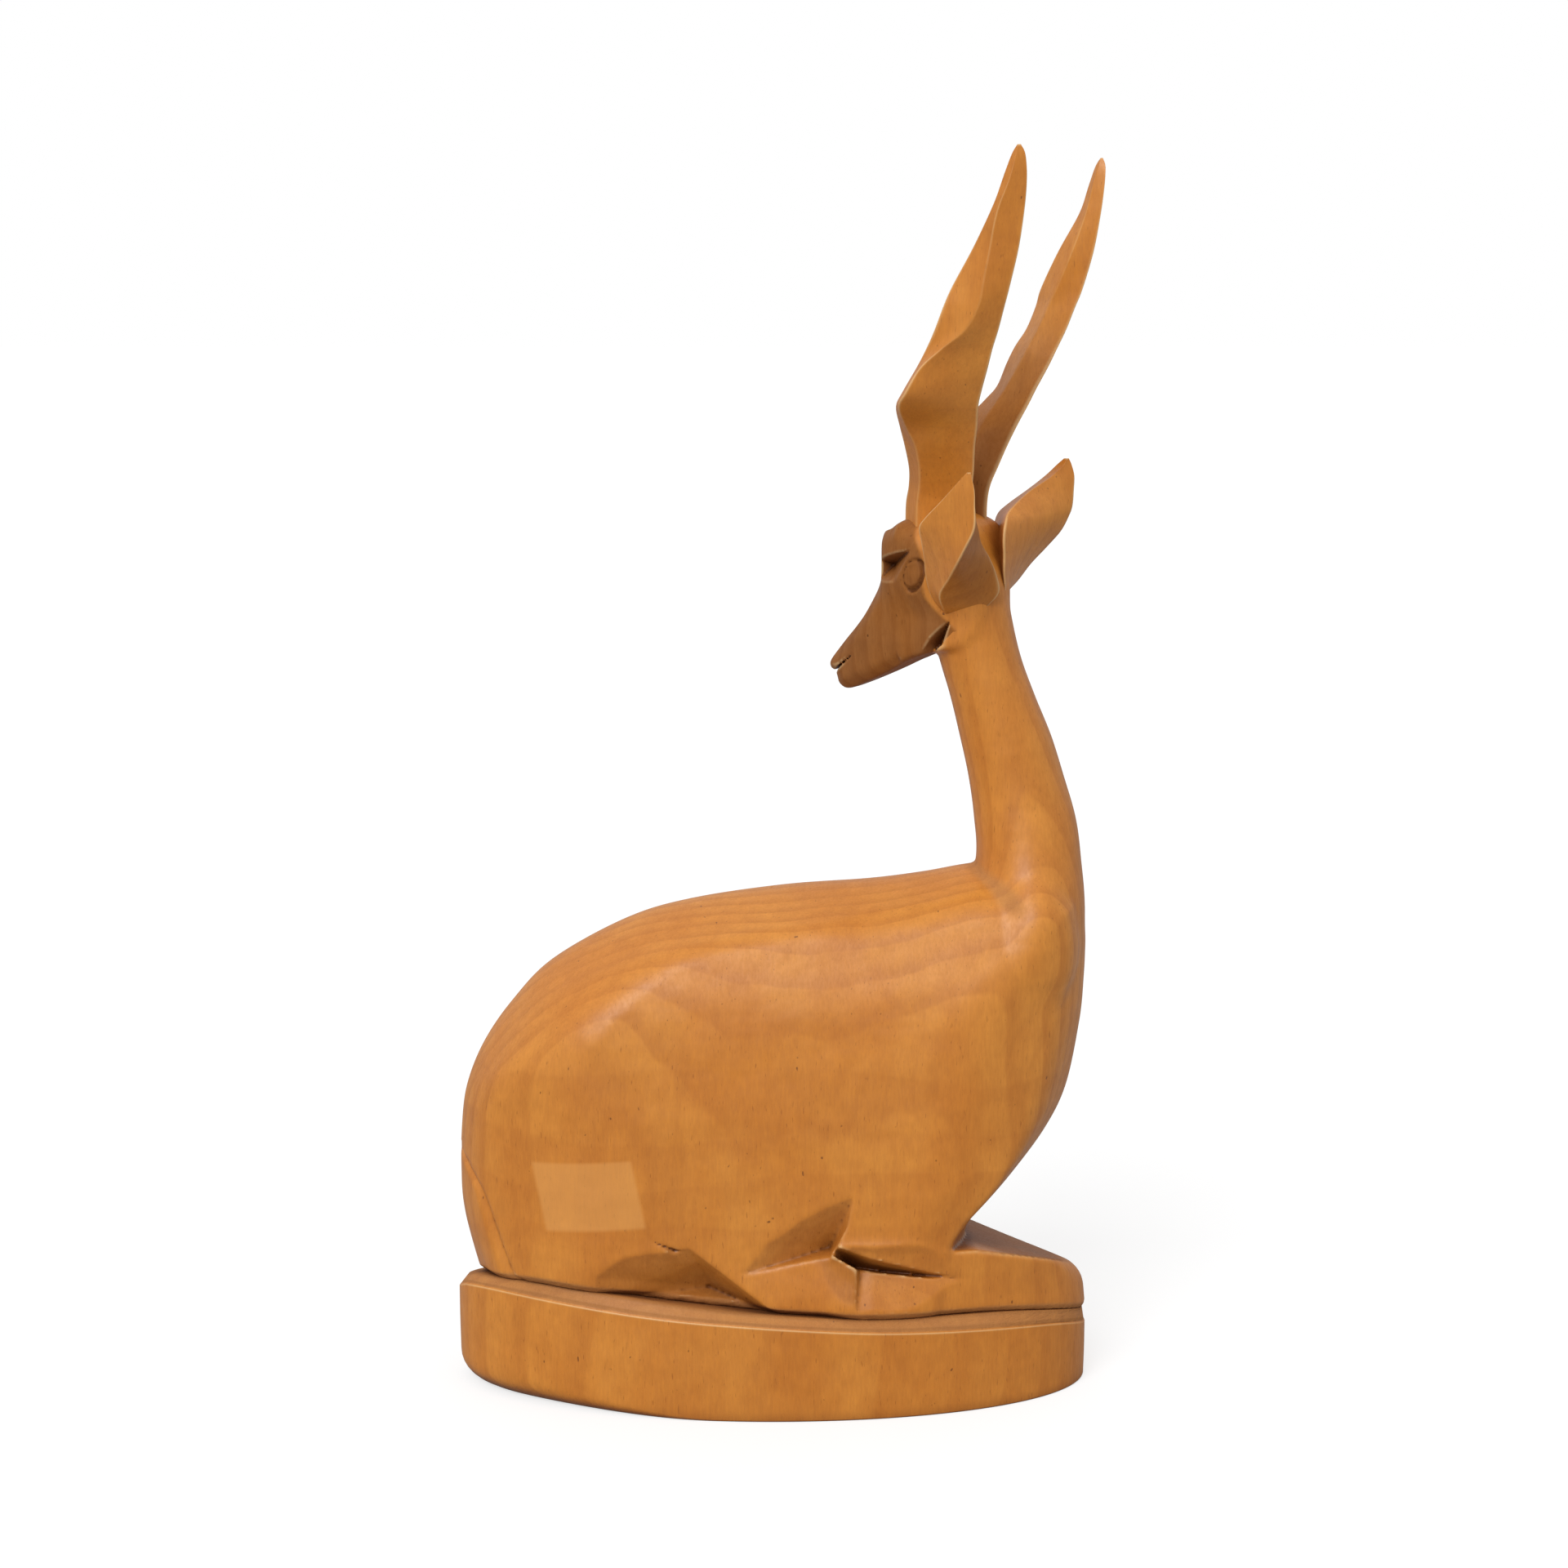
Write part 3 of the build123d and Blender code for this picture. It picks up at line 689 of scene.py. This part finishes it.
def mark_pieces():
    """Painted shade with some real darker wood, roughness, and worn edges with painted highlight and crease
    shade, of each piece.
    """
    (x, y, z), normal = points_and_normals(body_piece)
    # Foot of the body: rough wood, with painted shade where it meets the plinth.
    groove = ease(-(z - seat(x, y)), -1.9, -0.9)
    rough = np.maximum(groove, neck_crease(x, y, z))
    # Painted shade in the cuts and on the forelegs' top.
    mark(body_piece, np.maximum(cut_shade(x, y, z, normal[2]), 0.6 * groove), rough, 0.15 * groove)

    (x, y, z), normal = points_and_normals(head_piece)
    jaw = under_jaw(x, y, z)
    forward, _ = row_to_head(x, y)
    ring, _ = eye_ring(forward, z)
    around_eye = ease(-ring, -1.7, -1.2)
    # The face's marks are painted shade; the strip under the jaw is rough wood, and it and the eye lose
    # their pale edges.
    mark(head_piece, face_shade(x, y, z), 0.6 * jaw, 0.5 * jaw + 0.5 * around_eye)

    # Painted shade on the ears' faces turned to the rear: strong on the near ear, none on the far ear.
    for ear, amount in ((left_ear, 0.6), (right_ear, 0.0)):
        _, normal = points_and_normals(ear)
        forward, _ = row_to_head(normal[0] + head_axis_x, normal[1])
        mark(ear, amount * ease(-forward, 0.3, 0.7), 0.0)
    # Painted shade on the horns' faces turned to the left, low on each horn, strong on the far horn.
    for horn, amount, turned in ((left_horn, 0.15, 0.5), (right_horn, 1.0, -0.35)):
        (x, y, z), normal = points_and_normals(horn)
        mark(horn, amount * ease(-normal[0], turned, turned + 0.45) * ease(-z, -238, -205), 0.0)

    (x, y, z), normal = points_and_normals(plinth_piece)
    # The rough bevel strip is a little darker wood; two darker lines run along the bevel near the rim and
    # near the seat.
    bevel = ease(z - rim(x, y), 0.05, 0.4)
    share = (z - rim(x, y)) / (seat(x, y) - rim(x, y))
    lines = ease(share, 0.70, 0.95) + ease(share, 0.08, 0.18) * ease(-share, -0.42, -0.26)
    mark(plinth_piece, 0.15 * bevel + 0.5 * lines, bevel, 0.3 * lines)


mark_pieces()


# Materials
def node(tree, kind, *inputs, output=0, **settings):
    """One shader node with its inputs given in order, as values or as other nodes' outputs."""
    made = tree.nodes.new("ShaderNode" + kind)
    for name, value in settings.items():
        setattr(made, name, value)
    for place, value in enumerate(inputs):
        if isinstance(value, bpy.types.NodeSocket):
            tree.links.new(value, made.inputs[place])
        elif value is not None:
            made.inputs[place].default_value = value
    return made.outputs[output]


def math_node(tree, operation, *inputs):
    return node(tree, "Math", *inputs, operation=operation)


def ramp(tree, value, start, end, low=0.0, high=1.0):
    return node(tree, "MapRange", value, start, end, low, high, interpolation_type="SMOOTHSTEP")


def noise(tree, place, stretch, scale, detail=3.0, roughness=0.5):
    """Noise in millimetres: the stretch is the reach of a feature along each direction."""
    squeezed = node(tree, "Mapping", place, None, None, tuple(1 / s for s in stretch))
    return node(tree, "TexNoise", squeezed, None, scale, detail, roughness)


def tint(tree, blend, factor, first, second):
    return node(tree, "MixRGB", factor, first, second, blend_type=blend)


pith = (15, 190, 0)
ring_spacing = 3.1
wave_spacing = 11.0


def growth_rings(tree, place):
    """Dark latewood lines at even distances from an upright pith beyond the far flank, gently warped."""
    warp = noise(tree, place, (1, 1, 3), 0.012, 2.0, 0.45)
    fine_warp = noise(tree, place, (1, 1, 3), 0.07, 2.0)
    level = node(tree, "VectorMath", place, (1, 1, 0), operation="MULTIPLY")
    distance = node(tree, "VectorMath", level, pith, operation="DISTANCE", output=1)
    pushed = math_node(tree, "MULTIPLY_ADD", warp, 17.0, distance)
    pushed = math_node(tree, "MULTIPLY_ADD", fine_warp, 1.8, pushed)
    return latewood(tree, pushed, ring_spacing)


def latewood(tree, distance, spacing):
    """Lines that darken slowly and end sharply, one to each spacing."""
    phase = math_node(tree, "FRACT", math_node(tree, "DIVIDE", distance, spacing))
    return math_node(tree, "MULTIPLY", ramp(tree, phase, 0.3, 0.9), ramp(tree, phase, 0.9, 1.0, 1.0, 0.0))


def flank_waves(tree, place, up):
    """Wide wavy lines low on the flanks, where the growth rings are cut almost flat."""
    warp = noise(tree, place, (2.5, 1, 1), 0.035, 2.0, 0.4)
    pushed = math_node(tree, "MULTIPLY_ADD", warp, 26.0, up)
    band = math_node(tree, "MULTIPLY", ramp(tree, up, 24.0, 40.0), ramp(tree, up, 96.0, 66.0))
    return math_node(tree, "MULTIPLY", latewood(tree, pushed, wave_spacing), band)


def label_patch(tree, place):
    """Paler rectangle on the near haunch where a small label kept the light off the wood."""
    x, y, z = node(tree, "SeparateXYZ", place).node.outputs
    slide = math_node(tree, "MULTIPLY_ADD", z, 0.21, x)
    lift = math_node(tree, "MULTIPLY_ADD", x, -0.085, z)
    inside = ramp(tree, y, -14.0, -16.0)
    sides = ((slide, -40.8, -39.6), (slide, -17.6, -18.8), (lift, 43.8, 45.0), (lift, 60.0, 59.0))
    for value, start, end in sides:
        inside = math_node(tree, "MULTIPLY", inside, ramp(tree, value, start, end))
    return inside


def wood_material(name, early, late, deep, polish):
    """Wood from its early, late and deep colours: pattern first, then marks with painted shade and
    highlight, sheen and bumps.
    """
    material = bpy.data.materials.new(name)
    material.use_nodes = True
    tree = material.node_tree
    bsdf = tree.nodes["Principled BSDF"]
    metres = node(tree, "TexCoord", output=3)
    place = node(tree, "VectorMath", metres, None, None, 1 / MM, operation="SCALE")

    up = node(tree, "SeparateXYZ", place).node.outputs[2]
    rings = math_node(tree, "MULTIPLY", growth_rings(tree, place), ramp(tree, up, 165.0, 200.0, 0.42, 0.14))
    waves = math_node(tree, "MULTIPLY", flank_waves(tree, place, up), 0.22)
    fibre = noise(tree, place, (1, 1, 7), 1.9, 4.0, 0.65)
    flecks = noise(tree, place, (1, 1, 6), 2.6, 1.0)
    mottle = noise(tree, place, (1, 1, 1.6), 0.32, 4.0, 0.6)
    patches = noise(tree, place, (1, 1, 1.8), 0.045, 3.0, 0.55)
    specks = noise(tree, place, (1, 1, 1.5), 0.8, 1.0)
    # Painted shade in cuts, hollows and faces turned from the light, with some real darker wood on the
    # plinth's bevel.
    shade_and_stain = node(tree, "Attribute", output=2, attribute_name="shade_and_stain")
    rough = node(tree, "Attribute", output=2, attribute_name="rough")
    edge = node(tree, "Attribute", output=2, attribute_name="edge")
    # Ambient occlusion, used below for painted shade in corners and hollows.
    corner = node(tree, "AmbientOcclusion", None, 0.006, samples=6, output=1)

    colour = tint(tree, "MIX", rings, (*early, 1), (*late, 1))
    colour = tint(tree, "MIX", waves, colour, (*late, 1))
    colour = tint(tree, "MIX", ramp(tree, patches, 0.35, 0.65, 0.0, 0.6), colour, (*deep, 1))
    colour = tint(tree, "MULTIPLY", ramp(tree, mottle, 0.3, 0.7, 0.30, 0.0), colour, (0.70, 0.60, 0.50, 1))
    colour = tint(tree, "MULTIPLY", ramp(tree, fibre, 0.3, 0.7, 0.24, 0.0), colour, (0.60, 0.52, 0.40, 1))
    colour = tint(tree, "MULTIPLY", ramp(tree, flecks, 0.67, 0.80, 0.0, 0.55), colour, (0.5, 0.4, 0.3, 1))
    colour = tint(tree, "MULTIPLY", ramp(tree, specks, 0.76, 0.83, 0.0, 0.8), colour, (0.25, 0.2, 0.18, 1))
    label = math_node(tree, "MULTIPLY", label_patch(tree, place), 0.5)
    colour = tint(tree, "MIX", label, colour, (0.72, 0.33, 0.085, 1))
    # The painted shade and darker wood as a grey-brown tint, a little uneven.
    uneven_shade_and_stain = math_node(tree, "MULTIPLY", shade_and_stain, ramp(tree, patches, 0.3, 0.7, 1.0, 0.75))
    colour = tint(tree, "MULTIPLY", uneven_shade_and_stain, colour, (0.42, 0.44, 1.0, 1))
    colour = tint(tree, "MIX", math_node(tree, "MULTIPLY", rough, 0.40), colour, (0.36, 0.18, 0.075, 1))
    # Outward edges paler: partly worn wood, partly painted highlight.
    colour = tint(tree, "SCREEN", ramp(tree, edge, 0.12, 0.5, 0.0, 0.30), colour, (1, 0.75, 0.4, 1))
    # Painted shade in creases.
    colour = tint(tree, "MULTIPLY", ramp(tree, edge, -0.08, -0.45, 0.0, 0.75), colour, (0.24, 0.16, 0.13, 1))
    # Painted shade in corners and hollows.
    colour = tint(tree, "MULTIPLY", ramp(tree, corner, 0.75, 0.25, 0.0, 0.85), colour, (0.30, 0.20, 0.16, 1))
    tree.links.new(colour, bsdf.inputs["Base Color"])

    sheen = ramp(tree, fibre, 0.3, 0.7, polish + 0.08, polish - 0.04)
    sheen = math_node(tree, "MULTIPLY_ADD", rough, 0.35, sheen)
    tree.links.new(sheen, bsdf.inputs["Roughness"])
    tree.links.new(ramp(tree, shade_and_stain, 0.2, 0.9, 0.40, 0.08), bsdf.inputs["Specular IOR Level"])
    tree.links.new(ramp(tree, shade_and_stain, 0.2, 0.9, 0.10, 0.0), bsdf.inputs["Coat Weight"])
    bsdf.inputs["Coat Roughness"].default_value = 0.3

    strokes = noise(tree, place, (1.6, 1.6, 1), 0.11, 2.0)
    tooling = noise(tree, place, (3, 3, 1), 1.4, 3.0, 0.65)
    height = math_node(tree, "MULTIPLY", fibre, 0.05)
    height = math_node(tree, "MULTIPLY_ADD", strokes, 0.8, height)
    height = math_node(tree, "MULTIPLY_ADD", math_node(tree, "MULTIPLY", tooling, rough), 0.5, height)
    bump = tree.nodes.new("ShaderNodeBump")
    bump.inputs["Strength"].default_value = 0.6
    bump.inputs["Distance"].default_value = MM
    tree.links.new(height, bump.inputs["Height"])
    tree.links.new(bump.outputs[0], bsdf.inputs["Normal"])
    return material


carved = wood_material(
    "carved_wood",
    early=(0.67, 0.258, 0.036),
    late=(0.47, 0.148, 0.016),
    deep=(0.56, 0.184, 0.018),
    polish=0.42,
)
dowel = wood_material(
    "dowel_wood",
    early=(0.66, 0.46, 0.25),
    late=(0.50, 0.31, 0.15),
    deep=(0.58, 0.38, 0.20),
    polish=0.60,
)
for piece in pieces:
    piece.data.materials.append(carved)
for name in ("plinth_dowels", "neck_dowel"):
    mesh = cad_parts[name].data
    mesh.materials.clear()
    mesh.materials.append(dowel)


# Floor, light and camera
floor_half = 6.0
floor_grey = 0.38
floor_glow = 0.66
sun_strength = 1.9
sun_spread = math.radians(34)
sun_toward = (-0.30, -0.72, 0.56)
sky_low = 0.56
sky_high = 0.74
camera_place = (0.0026, -0.700, 0.255)
camera_pitch = math.radians(9.81)
camera_lens = 74.78


def add_floor():
    """Pale floor that looks almost white to the camera and sends only a little light back up."""
    half = floor_half
    mesh = bpy.data.meshes.new("floor")
    corners = [(-half, -half, 0), (half, -half, 0), (half, half, 0), (-half, half, 0)]
    mesh.from_pydata(corners, [], [(0, 1, 2, 3)])
    floor = bpy.data.objects.new("floor", mesh)
    bpy.context.scene.collection.objects.link(floor)
    material = bpy.data.materials.new("pale_floor")
    material.use_nodes = True
    tree = material.node_tree
    bsdf = tree.nodes["Principled BSDF"]
    bsdf.inputs["Base Color"].default_value = (floor_grey, floor_grey, floor_grey, 1)
    bsdf.inputs["Roughness"].default_value = 0.9
    bsdf.inputs["Specular IOR Level"].default_value = 0.0
    bsdf.inputs["Emission Color"].default_value = (1, 1, 1, 1)
    glow = math_node(tree, "MULTIPLY", node(tree, "LightPath"), floor_glow)
    tree.links.new(glow, bsdf.inputs["Emission Strength"])
    mesh.materials.append(material)


def add_sun():
    """Broad soft key light from the camera's upper left."""
    sun = bpy.data.lights.new("key", "SUN")
    sun.energy = sun_strength
    sun.angle = sun_spread
    lamp = bpy.data.objects.new("key", sun)
    bpy.context.scene.collection.objects.link(lamp)
    x, y, z = sun_toward
    lamp.rotation_euler = (math.atan2(math.hypot(x, y), z), 0, math.atan2(x, -y))


def add_sky():
    """White behind the statue; for its lighting, brighter from above than from the sides."""
    world = bpy.data.worlds.new("studio")
    world.use_nodes = True
    tree = world.node_tree
    background = tree.nodes["Background"]
    background.inputs["Color"].default_value = (1, 1, 1, 1)
    direction = node(tree, "TexCoord")
    up = node(tree, "SeparateXYZ", direction, output=2)
    lighting = ramp(tree, up, -0.1, 0.9, sky_low, sky_high)
    seen = node(tree, "LightPath")
    strength = node(tree, "Mix", seen, None, lighting, 1.0)
    tree.links.new(strength, background.inputs["Strength"])
    bpy.context.scene.world = world


def add_camera():
    """Camera in front of the near flank, a little above the statue and looking down."""
    camera = bpy.data.cameras.new("camera")
    camera.sensor_width = 36
    camera.lens = camera_lens
    view = bpy.data.objects.new("camera", camera)
    bpy.context.scene.collection.objects.link(view)
    view.location = camera_place
    view.rotation_euler = (math.pi / 2 - camera_pitch, 0, 0)
    bpy.context.scene.camera = view


add_floor()
add_sun()
add_sky()
add_camera()
bpy.context.scene.view_settings.view_transform = "Standard"
